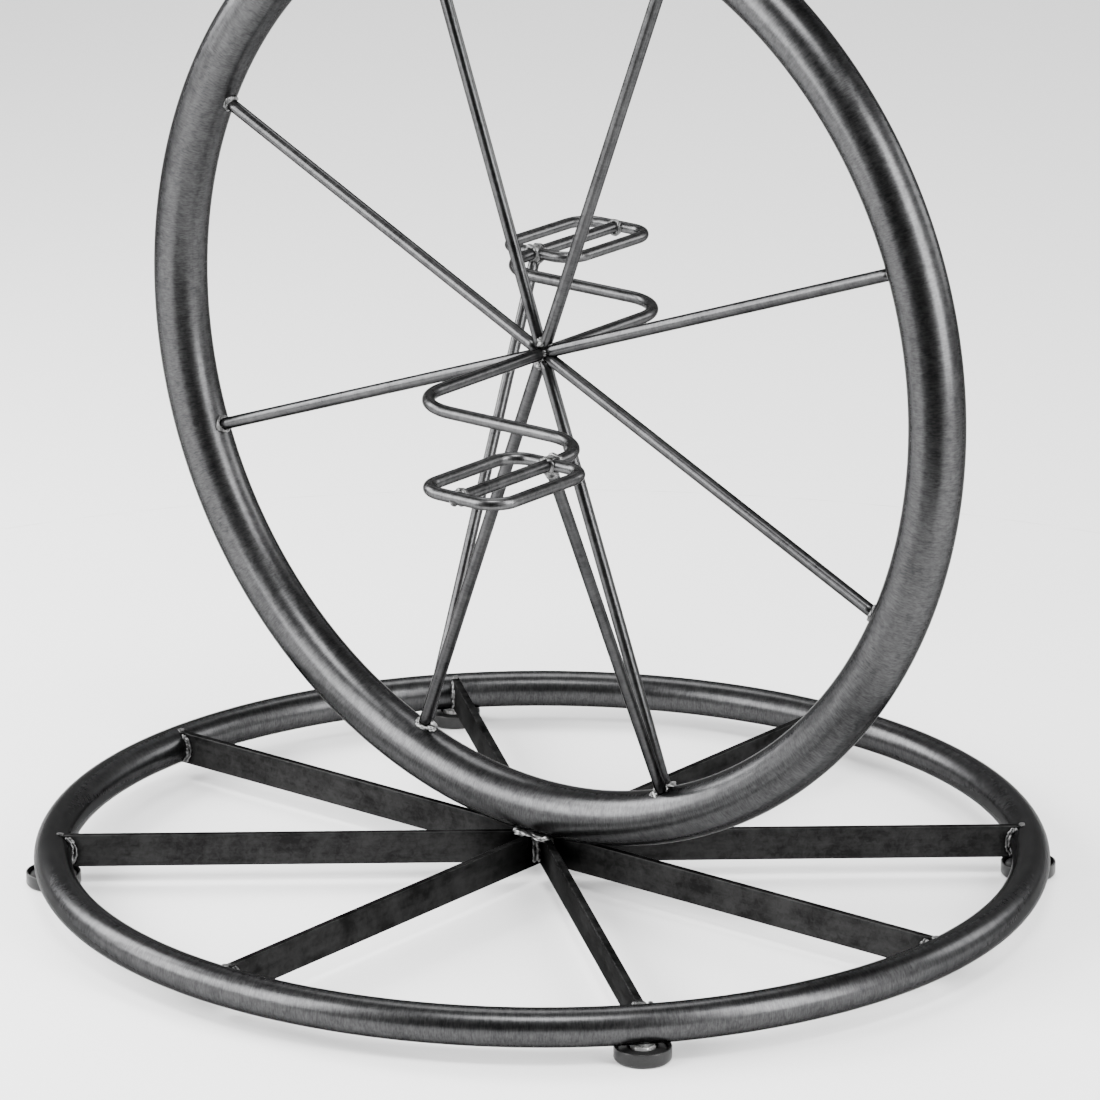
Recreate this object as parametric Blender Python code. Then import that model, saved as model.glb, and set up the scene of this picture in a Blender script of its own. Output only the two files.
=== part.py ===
"""Unicycle-style steel pedestal: an upright spoked wheel welded on a spoked round foot ring."""
import math

import bmesh
import bpy
import numpy as np
from mathutils import Vector

for old in list(bpy.data.objects):
    bpy.data.objects.remove(old, do_unlink=True)

# ---- driving dimensions, metres -------------------------------------------------------------
GAP = 0.0003            # clearance left between two pieces that are welded or touch
PAD_H = 0.0068          # height of a foot pad
PAD_R = 0.0129          # radius of a foot pad
RING_Z = 0.0164         # height of the foot ring's centre line
RING_R = 0.2286         # radius of the foot ring's centre line
RING_TUBE = 0.00885     # radius of the foot ring's tube
BAR_T = 0.0035          # thickness of the flat bars
BAR_UP = 0.0081         # bar top above the ring centre line
BAR_DOWN = 0.0073       # bar bottom below the ring centre line
BAR_START = 0.0057      # where a bar starts, from the middle
CORE_R = 0.0053         # radius of the weld metal the bars meet in
DIAG = math.radians(40.4)   # angle of the slanting bars from the wheel's plane
WHEEL_R = 0.2206        # radius of the wheel's centre line
WHEEL_TUBE = 0.0128     # radius of the wheel's tube
HUB_Z = RING_Z + 0.2400     # height of the wheel's centre
SPOKE_R = 0.0029        # radius of a wheel spoke
SPOKE_START = 0.0087    # where a spoke starts, from the hub's centre
HUB_R = 0.0083          # radius of the hub's weld boss
HUB_HALF = 0.0045       # half its length along the axle
SPOKE_DEG = (20.0, 69.8, 109.8, 154.8, 199.8, 249.9, 290.4, 335.3)
ROD_R = 0.0029          # radius of the crank rod
ROD_BEND = 0.0235       # bend radius of the crank rod
CRANK = ((-0.002, -0.0972, -0.0016), (0.1013, -0.0907, -0.0038), (0.1030, -0.1300, -0.0041))
PEDAL = (0.1030, -0.1560, -0.0041)  # centre of a pedal from the hub
PEDAL_A = 0.0321        # half the pedal's length, along the axle's direction
PEDAL_B = 0.0217        # half its width
PEDAL_R = 0.0028        # radius of the pedal's rod
PEDAL_BEND = 0.0118     # its corner radius
STRUT_R = 0.0027        # radius of a strut
BORE_R = 0.0046         # blind hole in the ring for a foot's bushing
BUSH_R = 0.0043         # outside radius of that threaded bushing
BUSH_IN = 0.0033        # its inside radius
STEM_R = 0.0030         # radius of a foot's screw
NUT_AF = 0.010          # hexagon across flats at the foot of the screw

HUB = np.array([0.0, 0.0, HUB_Z])


def material(obj, colour, rough, metal):
    """Give the object its own plain material."""
    mat = bpy.data.materials.new(obj.name + "_mat")
    mat.use_nodes = True
    bsdf = mat.node_tree.nodes["Principled BSDF"]
    bsdf.inputs["Base Color"].default_value = (*colour, 1.0)
    bsdf.inputs["Roughness"].default_value = rough
    bsdf.inputs["Metallic"].default_value = metal
    obj.data.materials.append(mat)


def add(name, verts, faces, smooth=True, at=(0.0, 0.0, 0.0), colour=(0.12, 0.12, 0.12), rough=0.4, metal=1.0):
    """Make an object from vertices and faces, its origin put at the point given."""
    at = np.array(at, float)
    me = bpy.data.meshes.new(name)
    me.from_pydata([tuple(np.array(v, float) - at) for v in verts], [], faces)
    me.validate()
    bm = bmesh.new()
    bm.from_mesh(me)
    bmesh.ops.recalc_face_normals(bm, faces=bm.faces)
    bm.to_mesh(me)
    bm.free()
    if smooth:
        for poly in me.polygons:
            poly.use_smooth = True
    obj = bpy.data.objects.new(name, me)
    bpy.context.scene.collection.objects.link(obj)
    obj.location = tuple(at)
    material(obj, colour, rough, metal)
    return obj


def rounded(points, radius, closed=False, steps=6):
    """Polyline through the corner points with every corner turned into an arc of the radius."""
    pts = [np.array(q, float) for q in points]
    count = len(pts)
    out = [] if closed else [pts[0]]
    for i in (range(count) if closed else range(1, count - 1)):
        a, b, c = pts[i - 1], pts[i], pts[(i + 1) % count]
        u = (a - b) / np.linalg.norm(a - b)
        v = (c - b) / np.linalg.norm(c - b)
        half = math.acos(float(np.clip(u @ v, -1, 1))) / 2
        mid = b + (u + v) / np.linalg.norm(u + v) * radius / math.sin(half)
        s = b + u * radius / math.tan(half) - mid
        e = b + v * radius / math.tan(half) - mid
        sweep = math.pi - 2 * half
        for k in range(steps + 1):
            f = k / steps
            out.append(mid + (math.sin((1 - f) * sweep) * s + math.sin(f * sweep) * e) / math.sin(sweep))
    if not closed:
        out.append(pts[-1])
    return np.array(out)


def sections(path, radius, sides, closed):
    """Circles of the radius square to the path, carried along it without twisting."""
    n = len(path)
    rings = []
    if closed:
        tang = [path[(i + 1) % n] - path[i - 1] for i in range(n)]
    else:
        tang = [path[min(i + 1, n - 1)] - path[max(i - 1, 0)] for i in range(n)]
    tang = [t / np.linalg.norm(t) for t in tang]
    side = np.cross(tang[0], (0.0, 0.0, 1.0))
    if np.linalg.norm(side) < 0.2:
        side = np.cross(tang[0], (1.0, 0.0, 0.0))
    side /= np.linalg.norm(side)
    for p, t in zip(path, tang):
        side = side - t * (side @ t)
        side /= np.linalg.norm(side)
        up = np.cross(t, side)
        rings.append([p + radius * (math.cos(a) * side + math.sin(a) * up)
                      for a in (2 * math.pi * k / sides for k in range(sides))])
    return rings


def near(point, path):
    """Distance from a point to a polyline."""
    a = path[:-1]
    d = path[1:] - a
    t = np.clip(((point - a) * d).sum(1) / np.maximum((d * d).sum(1), 1e-12), 0, 1)
    return float(np.linalg.norm(point - a - t[:, None] * d, axis=1).min())


def reach(point, direction, targets):
    """Slide the point along the direction until it is GAP short of the nearest target rod."""
    low, step = 0.0, 0.0004
    while step > 1e-6 and low < 0.03:
        q = point + direction * (low + step)
        if min(near(q, path) - rad for path, rad in targets) > GAP:
            low += step
        else:
            step /= 2
    return point + direction * low


def rod(name, path, radius, sides=12, start=None, end=None, **kw):
    """A round rod along an open path; an end given targets is coped to fit against them."""
    rings = sections(path, radius, sides, False)
    heads = [path[0], path[-1]]
    for end_at, targets in ((0, start), (-1, end)):
        if not targets:
            continue
        d = path[0] - path[1] if end_at == 0 else path[-1] - path[-2]
        d = d / np.linalg.norm(d)
        tip, outer = path[end_at], rings[end_at]
        coped = [[reach(tip + (v - tip) * f, d, targets) for v in outer] for f in (1.0, 0.8, 0.5)]
        heads[end_at] = reach(tip, d, targets)
        rings[end_at] = coped[0]
        rings = [coped[2], coped[1]] + rings if end_at == 0 else rings + [coped[1], coped[2]]
    verts = [v for ring in rings for v in ring] + heads
    faces = []
    for i in range(len(rings) - 1):
        for k in range(sides):
            m = (k + 1) % sides
            faces.append((i * sides + k, i * sides + m, (i + 1) * sides + m, (i + 1) * sides + k))
    first, last, base = len(verts) - 2, len(verts) - 1, (len(rings) - 1) * sides
    for k in range(sides):
        m = (k + 1) % sides
        faces.append((first, m, k))
        faces.append((last, base + k, base + m))
    return add(name, verts, faces, **kw)


def loop(name, path, radius, sides, **kw):
    """A round rod along a closed path."""
    rings = sections(path, radius, sides, True)
    verts = [v for ring in rings for v in ring]
    faces = []
    n = len(rings)
    for i in range(n):
        j = (i + 1) % n
        for k in range(sides):
            m = (k + 1) % sides
            faces.append((i * sides + k, i * sides + m, j * sides + m, j * sides + k))
    return add(name, verts, faces, **kw)


def lathe(name, profile, sides, at, **kw):
    """Turn a closed (radius, height) outline about the vertical through the point given."""
    verts, faces, rows = [], [], []
    for r, z in profile:
        if r < 1e-9:
            rows.append([len(verts)])
            verts.append((at[0], at[1], z))
        else:
            rows.append(list(range(len(verts), len(verts) + sides)))
            verts += [(at[0] + r * math.cos(2 * math.pi * k / sides),
                       at[1] + r * math.sin(2 * math.pi * k / sides), z) for k in range(sides)]
    closed = len(rows[0]) > 1
    for i in range(len(rows) - (0 if closed else 1)):
        a, b = rows[i], rows[(i + 1) % len(rows)]
        for k in range(sides):
            m = (k + 1) % sides
            if len(a) == 1:
                faces.append((a[0], b[k], b[m]))
            elif len(b) == 1:
                faces.append((a[k], b[0], a[m]))
            else:
                faces.append((a[k], b[k], b[m], a[m]))
    return add(name, verts, faces, at=at, **kw)


def circle(radius, z, plane, count, centre=(0.0, 0.0)):
    """Points of a circle, lying flat ('xy') or standing in the wheel's plane ('xz')."""
    out = []
    for k in range(count):
        a = 2 * math.pi * k / count
        if plane == "xy":
            out.append((radius * math.cos(a), radius * math.sin(a), z))
        else:
            out.append((radius * math.cos(a), 0.0, z + radius * math.sin(a)))
    return np.array(out)


# ---- foot ring: bent tube with a blind hole for each foot's bushing ---------------------------
foot_angles = {"front": -DIAG, "right": DIAG, "back": math.pi - DIAG, "left": math.pi + DIAG}
ring = loop("base_ring", circle(RING_R, RING_Z, "xy", 96), RING_TUBE, 16)
bpy.ops.object.select_all(action="DESELECT")
for key, ang in foot_angles.items():
    bpy.ops.mesh.primitive_cylinder_add(
        vertices=20, radius=BORE_R, depth=0.02,
        location=(RING_R * math.cos(ang), RING_R * math.sin(ang), RING_Z + 0.0052 - 0.01))
    cutter = bpy.context.object
    mod = ring.modifiers.new("hole_" + key, "BOOLEAN")
    mod.operation = "DIFFERENCE"
    mod.solver = "EXACT"
    mod.object = cutter
    bpy.context.view_layer.objects.active = ring
    bpy.ops.object.modifier_apply(modifier=mod.name)
    bpy.data.objects.remove(cutter, do_unlink=True)

# ---- eight flat bars on edge, coped to the ring, relieved under the wheel ---------------------
TILT = {"right": 0, "mid_right": 1, "back": 2, "wheel_back": 3, "left": 4, "mid_left": 5,
        "front": 6, "wheel_front": 7}
BAR_ANGLE = (DIAG, math.pi / 2, math.pi - DIAG, math.pi, math.pi + DIAG, 1.5 * math.pi, -DIAG, 0.0)


def under_wheel(x, y):
    """Height of the wheel tube's underside, with the gap taken off, above the point (x, y)."""
    tube = WHEEL_TUBE + GAP
    if abs(y) >= tube:
        return 1.0
    return HUB_Z - math.sqrt((WHEEL_R + math.sqrt(tube * tube - y * y)) ** 2 - x * x)


for key, idx in TILT.items():
    ang = BAR_ANGLE[idx]
    out = np.array([math.cos(ang), math.sin(ang), 0.0])
    across = np.array([-math.sin(ang), math.cos(ang), 0.0]) * BAR_T / 2
    low, top = RING_Z - BAR_DOWN, RING_Z + BAR_UP
    outline = [(BAR_START, low)]
    for k in range(9):
        z = low + (top - low) * k / 8
        outline.append((RING_R - math.sqrt((RING_TUBE + GAP) ** 2 - (z - RING_Z) ** 2), z))
    for s in (0.060, 0.040, 0.032, 0.026, 0.020, 0.015, 0.011, 0.0085, BAR_START):
        z = min([top] + [under_wheel(*(out * s + across * f)[:2]) for f in (-1, 0, 1)])
        outline.append((s, z))
    verts = [out * s + across * f + (0, 0, z) for f in (-1, 1) for s, z in outline]
    n = len(outline)
    faces = [tuple(range(n)), tuple(range(2 * n - 1, n - 1, -1))]
    faces += [(k, (k + 1) % n, n + (k + 1) % n, n + k) for k in range(n)]
    add("base_bar_" + key, verts, faces, smooth=False, colour=(0.07, 0.07, 0.07), rough=0.5)

core_top = under_wheel(0.0, 0.0)
lathe("base_weld_core", [(0.0, RING_Z - BAR_DOWN), (CORE_R, RING_Z - BAR_DOWN), (CORE_R, core_top),
                         (0.0, core_top)], 16, (0, 0, 0), smooth=False, colour=(0.3, 0.3, 0.3))

# ---- wheel: bent tube, eight round spokes, weld boss around the axle --------------------------
wheel_path = circle(WHEEL_R, HUB_Z, "xz", 96)
loop("wheel_rim", wheel_path, WHEEL_TUBE, 20)
wheel_closed = np.vstack([wheel_path, wheel_path[:1]])
for k, deg in enumerate(SPOKE_DEG):
    d = np.array([math.cos(math.radians(deg)), 0.0, math.sin(math.radians(deg))])
    rod("wheel_spoke_%d" % (k + 1),
        np.array([HUB + d * SPOKE_START, HUB + d * (WHEEL_R - WHEEL_TUBE - 0.004)]),
        SPOKE_R, 12, end=[(wheel_closed, WHEEL_TUBE)])

# ---- crank rod: one rod through the hub, bent into a flat Z, a pedal on each end --------------
side_front = [HUB + np.array(q) for q in CRANK]
side_rear = [HUB - np.array(q) for q in CRANK]
crank_path = rounded(side_rear[::-1] + side_front, ROD_BEND, steps=7)
pedal_paths, bar_paths = {}, {}
for key, sign in (("front", 1.0), ("rear", -1.0)):
    c = HUB + sign * np.array(PEDAL)
    corners = [c + sign * np.array((a * PEDAL_B, b * PEDAL_A, 0.0))
               for a, b in ((-1, 1), (1, 1), (1, -1), (-1, -1))]
    path = rounded(corners, PEDAL_BEND, closed=True, steps=6)
    pedal_paths[key] = np.vstack([path, path[:1]])
    loop("pedal_loop_" + key, path, PEDAL_R, 12)
    ends = np.array([c + sign * np.array((0, PEDAL_A - 0.005, 0)),
                     c - sign * np.array((0, PEDAL_A - 0.005, 0))])
    bar_paths[key] = ends
    rod("pedal_bar_" + key, ends, PEDAL_R, 12, start=[(pedal_paths[key], PEDAL_R)],
        end=[(pedal_paths[key], PEDAL_R)])
hole = [(p, PEDAL_R) for p in pedal_paths.values()]
trimmed = crank_path.copy()
for i, j in ((0, 1), (-1, -2)):
    d = trimmed[i] - trimmed[j]
    trimmed[i] = trimmed[j] + d / np.linalg.norm(d) * 0.002
rod("crank_rod", trimmed, ROD_R, 12, start=hole, end=hole)
hub_profile = [(HUB_R, -HUB_HALF), (HUB_R, HUB_HALF), (ROD_R + GAP, HUB_HALF), (ROD_R + GAP, -HUB_HALF)]
boss = lathe("hub_weld_boss", hub_profile, 24, (0, 0, 0), colour=(0.3, 0.3, 0.3), smooth=False)
for v in boss.data.vertices:
    x, y, z = v.co
    axle = np.array(CRANK[0]) / abs(CRANK[0][1])
    v.co = Vector((x - axle[0] * z, z, HUB_Z + y - axle[2] * z))
boss.data.flip_normals() if sum(p.area * p.normal.dot(p.center - Vector(HUB)) for p in boss.data.polygons) < 0 else None

# ---- two struts from the pedals' inner joints down to the wheel, beside a spoke ---------------
for key, sign, deg in (("front", 1.0, SPOKE_DEG[6]), ("rear", -1.0, SPOKE_DEG[5])):
    top = HUB + sign * (np.array(PEDAL) + np.array((0, PEDAL_A, 0)))
    a = math.radians(deg)
    shift = -sign * (SPOKE_R + STRUT_R + GAP + 0.0002)
    foot = HUB + np.array([WHEEL_R * math.cos(a), 0, WHEEL_R * math.sin(a)]) * (WHEEL_R - 0.0112) / WHEEL_R
    foot[2] = HUB_Z + (WHEEL_R - 0.0112) * math.sin(a)
    foot[1] = shift
    d = (foot - top) / np.linalg.norm(foot - top)
    others = [(pedal_paths[key], PEDAL_R), (crank_path, ROD_R), (bar_paths[key], PEDAL_R)]
    rod("strut_" + key, np.array([top + d * 0.011, foot - d * 0.009]), STRUT_R, 12,
        start=others, end=[(wheel_closed, WHEEL_TUBE)])

# ---- four levelling feet: bushing in the ring, screw with a hexagon, round pad ----------------
for key, ang in foot_angles.items():
    x, y = RING_R * math.cos(ang), RING_R * math.sin(ang)
    low = RING_Z - RING_TUBE + 0.0006
    high = RING_Z + 0.0048
    lathe("foot_bush_" + key, [(BUSH_R, low), (BUSH_R, high), (BUSH_IN, high), (BUSH_IN, low)], 16,
          (x, y, 0), smooth=False, colour=(0.35, 0.35, 0.35))
    lathe("foot_pad_" + key, [(0, 0), (PAD_R - 0.0016, 0), (PAD_R - 0.0005, 0.0005), (PAD_R, 0.0016),
                              (PAD_R, PAD_H), (PAD_R - 0.0009, PAD_H), (PAD_R - 0.0009, 0.0040),
                              (0.0108, 0.0040), (0.0108, 0.0056), (0.0066, 0.0063), (0.0066, 0.0031),
                              (0, 0.0031)], 24, (x, y, 0), colour=(0.03, 0.03, 0.03), rough=0.4, metal=0.0)
    verts, faces = [], []
    levels = [(0.0034, 0.0052, 6), (0.0072, 0.0052, 6)]
    hexr = NUT_AF / math.sqrt(3)
    top_z = RING_Z + 0.0030
    for z in (0.0034, 0.0071):
        verts += [(x + hexr * math.cos(math.pi / 3 * k), y + hexr * math.sin(math.pi / 3 * k), z)
                  for k in range(6)]
    for z in (0.0071, top_z):
        verts += [(x + STEM_R * math.cos(math.pi / 6 * k), y + STEM_R * math.sin(math.pi / 6 * k), z)
                  for k in range(12)]
    faces.append((5, 4, 3, 2, 1, 0))
    faces += [(k, (k + 1) % 6, 6 + (k + 1) % 6, 6 + k) for k in range(6)]
    for k in range(6):
        m = (k + 1) % 6
        faces += [(6 + k, 6 + m, 12 + 2 * k + 1), (6 + k, 12 + 2 * k + 1, 12 + 2 * k),
                  (6 + m, 12 + (2 * k + 2) % 12, 12 + 2 * k + 1)]
    faces += [(12 + k, 12 + (k + 1) % 12, 24 + (k + 1) % 12, 24 + k) for k in range(12)]
    faces.append(tuple(range(24, 36)))
    add("foot_stem_" + key, verts, faces, smooth=False, at=(x, y, 0), colour=(0.6, 0.6, 0.6), rough=0.3)
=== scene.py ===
import math

import bmesh
import bpy
import numpy as np
from mathutils import Matrix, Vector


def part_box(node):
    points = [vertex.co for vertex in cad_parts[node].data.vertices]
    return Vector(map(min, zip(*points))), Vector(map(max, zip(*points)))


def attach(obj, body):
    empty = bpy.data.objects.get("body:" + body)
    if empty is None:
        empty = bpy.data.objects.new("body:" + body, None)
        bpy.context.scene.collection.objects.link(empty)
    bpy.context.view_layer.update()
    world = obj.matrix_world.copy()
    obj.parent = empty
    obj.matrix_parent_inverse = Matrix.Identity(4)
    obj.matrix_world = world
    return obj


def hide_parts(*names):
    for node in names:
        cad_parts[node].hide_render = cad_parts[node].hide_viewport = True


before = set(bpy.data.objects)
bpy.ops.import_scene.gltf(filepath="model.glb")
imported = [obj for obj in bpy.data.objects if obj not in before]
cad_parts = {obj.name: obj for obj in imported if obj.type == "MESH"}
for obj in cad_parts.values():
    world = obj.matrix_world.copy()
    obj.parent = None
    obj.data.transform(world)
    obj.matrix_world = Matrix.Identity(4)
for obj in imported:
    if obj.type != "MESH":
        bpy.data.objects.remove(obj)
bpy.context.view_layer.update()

# ---------------------------------------------------------------------------------------------
# Camera: a long lens about three metres away, turned 38 degrees round from the wheel's face and
# looking 18 degrees down.
# ---------------------------------------------------------------------------------------------
CAMERA_AT = (1.8153, -2.2834, 1.0905)
TURN, DOWN, ROLL = 0.67050, 0.30820, 0.0017
SENSOR_WIDTH = 36.0
LENS = 217.0

camera_data = bpy.data.cameras.new("camera")
camera_data.sensor_width = SENSOR_WIDTH
camera_data.lens = LENS
camera = bpy.data.objects.new("camera", camera_data)
bpy.context.scene.collection.objects.link(camera)
camera.matrix_world = (Matrix.Translation(CAMERA_AT) @ Matrix.Rotation(TURN, 4, "Z")
                       @ Matrix.Rotation(math.pi / 2 - DOWN, 4, "X")
                       @ Matrix.Rotation(ROLL, 4, "Z"))
bpy.context.scene.camera = camera

# ---------------------------------------------------------------------------------------------
# Studio: a wide pale floor under soft lamps. Dark lacquered steel shows the lamps as broad soft
# bands. Beside and behind the pedestal the outer floor and a curved wall show in reflections
# too. In front nothing does, as if the room were dark there, which gives the near-black bands.
# ---------------------------------------------------------------------------------------------
FLOOR_RADII = (0.0001, 0.3, 0.62)  # this middle part shows in every reflection
OUTER_FLOOR_RADII = (0.62, 2.0, 14.0)
WALL_AT = 3.3
WALL_SWEEP = 0.9
WALL_HEIGHT = 3.6
WALL_SWEEP_STEPS = 12
# Name, first and last angle in degrees round from the wheel's right side, and whether the
# sector shows in reflections.
SECTORS = (("left", 128, 265, True), ("front", 265, 335, False),
           ("right", 335, 420, True), ("back", 60, 128, True))
SHEET_STEPS = 96
PALE = (0.84, 0.84, 0.84, 1.0)
AIR = (0.9, 0.9, 0.9, 1.0)
LAMP_AIM_HEIGHT = 0.25
# Bearing in degrees, distance along the floor, height, size across and up, and glow.
LAMPS = {
    "lamp_left": (-76, 1.2, 0.70, (0.45, 0.66), 26),
    "lamp_front_left": (-48, 1.3, 0.58, (0.60, 0.66), 17),
    "lamp_front": (-20, 1.2, 0.72, (0.42, 1.00), 20),
    "lamp_right_strip_1": (85, 1.2, 0.70, (0.11, 1.10), 42),
    "lamp_right_strip_2": (97, 1.2, 0.70, (0.11, 1.10), 42),
    "lamp_back": (148, 1.2, 0.60, (0.45, 0.45), 10),
    "lamp_above": (38, 1.2, 2.7, (1.0, 0.6), 34),
    "lamp_room": (-141, 1.4, 2.5, (1.2, 1.2), 9),
}


def turned_sheet(name, radii, heights, start=0.0, end=2 * math.pi):
    """Open surface of revolution: at turn a each point is (r cos a, r sin a, h)."""
    turn = np.linspace(start, end, SHEET_STEPS + 1)
    r, h = np.asarray(radii)[:, None], np.asarray(heights)[:, None]
    pts = np.stack([r * np.cos(turn), r * np.sin(turn), h + 0 * turn], axis=-1)
    row, col = np.meshgrid(np.arange(len(radii) - 1), np.arange(SHEET_STEPS), indexing="ij")
    first = row * (SHEET_STEPS + 1) + col
    quads = np.stack([first, first + 1, first + SHEET_STEPS + 2, first + SHEET_STEPS + 1], axis=-1)
    mesh = bpy.data.meshes.new(name)
    mesh.from_pydata(pts.reshape(-1, 3).tolist(), [], quads.reshape(-1, 4).tolist())
    mesh.polygons.foreach_set("use_smooth", [True] * len(mesh.polygons))
    obj = bpy.data.objects.new(name, mesh)
    bpy.context.scene.collection.objects.link(obj)
    return obj


pale = bpy.data.materials.new("studio_pale")
pale.use_nodes = True
pale_bsdf = pale.node_tree.nodes["Principled BSDF"]
pale_bsdf.inputs["Base Color"].default_value = PALE
pale_bsdf.inputs["Roughness"].default_value = 0.8
pale_bsdf.inputs["Specular IOR Level"].default_value = 0.1

sweep_up = np.linspace(0, np.pi / 2, WALL_SWEEP_STEPS)
wall_radii = np.append(WALL_AT + WALL_SWEEP * np.sin(sweep_up), WALL_AT + WALL_SWEEP)
wall_heights = np.append(WALL_SWEEP - WALL_SWEEP * np.cos(sweep_up), WALL_HEIGHT)
sheets = [turned_sheet("studio_floor", FLOOR_RADII, [0, 0, 0])]
for name, start, end, mirrored in SECTORS:
    sector = math.radians(start), math.radians(end)
    sheets.append(turned_sheet("studio_floor_" + name, OUTER_FLOOR_RADII, [0, 0, 0], *sector))
    sheets[-1].visible_glossy = mirrored
    if mirrored:
        sheets.append(turned_sheet("studio_wall_" + name, wall_radii, wall_heights, *sector))
        sheets[-1].visible_camera = False
        sheets[-1].visible_diffuse = False
        sheets[-1].visible_shadow = False
for sheet in sheets:
    sheet.data.materials.append(pale)

world = bpy.data.worlds.new("studio_air")
world.use_nodes = True
world.node_tree.nodes["Background"].inputs["Color"].default_value = AIR
world.node_tree.nodes["Background"].inputs["Strength"].default_value = 1.0
bpy.context.scene.world = world
world.cycles_visibility.glossy = False


def soft_lamp(name, bearing, away, height, size, glow):
    """Rectangular lamp facing the wheel's middle. Bearing is in degrees, from straight ahead of
    the wheel's near face towards its right; then its distance along the floor and its height."""
    data = bpy.data.lights.new(name, "AREA")
    data.shape = "RECTANGLE"
    data.size, data.size_y = size
    data.energy = glow * math.pi * size[0] * size[1]
    lamp = bpy.data.objects.new(name, data)
    bpy.context.scene.collection.objects.link(lamp)
    az = math.radians(bearing)
    at = np.array([away * math.sin(az), -away * math.cos(az), height])
    back = at - np.array([0, 0, LAMP_AIM_HEIGHT])
    back /= np.linalg.norm(back)
    side = np.cross((0, 0, 1), back)
    side /= np.linalg.norm(side)
    up = np.cross(back, side)
    turn = Matrix([[side[i], up[i], back[i]] for i in range(3)]).to_4x4()
    lamp.matrix_world = Matrix.Translation(tuple(at)) @ turn
    lamp.visible_camera = False


for name, setting in LAMPS.items():
    soft_lamp(name, *setting)

# ---------------------------------------------------------------------------------------------
# Foot ring: a round steel tube rolled into a circle, its ends butt-welded and dressed flush,
# brushed round the tube and lacquered over a dark finish. It carries the whole frame, and four
# bores in its underside hold the bushings of the levelling feet.
# ---------------------------------------------------------------------------------------------
RING_STEPS = 420
RING_SIDES = 48
BORE_RADIUS = 0.0046
BORE_TOP = 0.0052  # above the tube's middle
BORE_BELOW = -0.004
BORE_SIDES = 48
SQUEEZE = 0.22  # of the radius, in the brushing pattern's coordinates


def skin_mesh(name, *shells):
    """Mesh of one or more closed shells. A shell is a grid of points whose columns close round,
    the grid of its pattern coordinates, whether its rows close too, and whether its two end rows
    close in a fan round their middles."""
    verts, where, faces, used = [], [], [], 0
    for pts, skin, wrap, poles in shells:
        rows, cols = pts.shape[:2]
        row, col = np.meshgrid(np.arange(rows if wrap else rows - 1), np.arange(cols), indexing="ij")
        down, nxt = (row + 1) % rows, (col + 1) % cols
        quads = np.stack([row * cols + col, row * cols + nxt, down * cols + nxt, down * cols + col],
                         axis=-1)
        faces += (quads.reshape(-1, 4) + used).tolist()
        verts.append(pts.reshape(-1, 3))
        where.append(skin.reshape(-1, 3))
        if poles:
            verts.append([pts[0].mean(axis=0), pts[-1].mean(axis=0)])
            where.append([skin[0].mean(axis=0), skin[-1].mean(axis=0)])
            c, top = np.arange(cols), used + rows * cols
            n, last = (c + 1) % cols, used + (rows - 1) * cols
            faces += np.stack([0 * c + top, used + n, used + c], axis=-1).tolist()
            faces += np.stack([0 * c + top + 1, last + c, last + n], axis=-1).tolist()
        used = sum(len(v) for v in verts)
    mesh = bpy.data.meshes.new(name)
    mesh.from_pydata(np.concatenate(verts).tolist(), [], faces)
    pattern = mesh.attributes.new("skin", "FLOAT_VECTOR", "POINT")
    pattern.data.foreach_set("vector", np.concatenate(where).ravel())
    bm = bmesh.new()
    bm.from_mesh(mesh)
    bmesh.ops.recalc_face_normals(bm, faces=bm.faces)
    bm.to_mesh(mesh)
    bm.free()
    mesh.polygons.foreach_set("use_smooth", [True] * len(mesh.polygons))
    obj = bpy.data.objects.new(name, mesh)
    bpy.context.scene.collection.objects.link(obj)
    return obj


def carried(path, radius, sides, across, closed):
    """Round section carried along a path: centre + radius (cos a side + sin a across'), where
    across' is the given direction made square to the path. Also returns the brushing pattern's
    own coordinates: the centre plus a fifth of the way out, so brushing runs round the rod."""
    path = np.asarray(path, float)
    if closed:
        along = np.roll(path, -1, axis=0) - np.roll(path, 1, axis=0)
    else:
        along = np.gradient(path, axis=0)
    along /= np.linalg.norm(along, axis=1, keepdims=True)
    side = np.cross(along, across)
    side /= np.linalg.norm(side, axis=1, keepdims=True)
    upward = np.cross(side, along)
    a = np.linspace(0, 2 * np.pi, sides, endpoint=False)
    radius = np.broadcast_to(np.asarray(radius, float), (len(path), sides))[..., None]
    out = radius * (np.cos(a)[:, None] * side[:, None] + np.sin(a)[:, None] * upward[:, None])
    centre = path[:, None, :]
    return centre + out, centre + SQUEEZE * out


def node(tree, kind, **sockets):
    """Add a shader node and set the sockets named."""
    made = tree.nodes.new(kind)
    for key, value in sockets.items():
        made.inputs[key.replace("_", " ")].default_value = value
    return made


EDGE_TINT = (0.22, 0.22, 0.22, 1.0)
COAT_ROUGHNESS = 0.22
BLOTCH_FINENESS = 6.5
BLOTCH_SHARE = 0.30
SPECK_SCALE = 1400.0
SPECK_SHARE = 0.4
TINT_FROM, TINT_TO = 0.40, 0.60
SHINE_FROM, SHINE_TO = 0.36, 0.64


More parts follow.
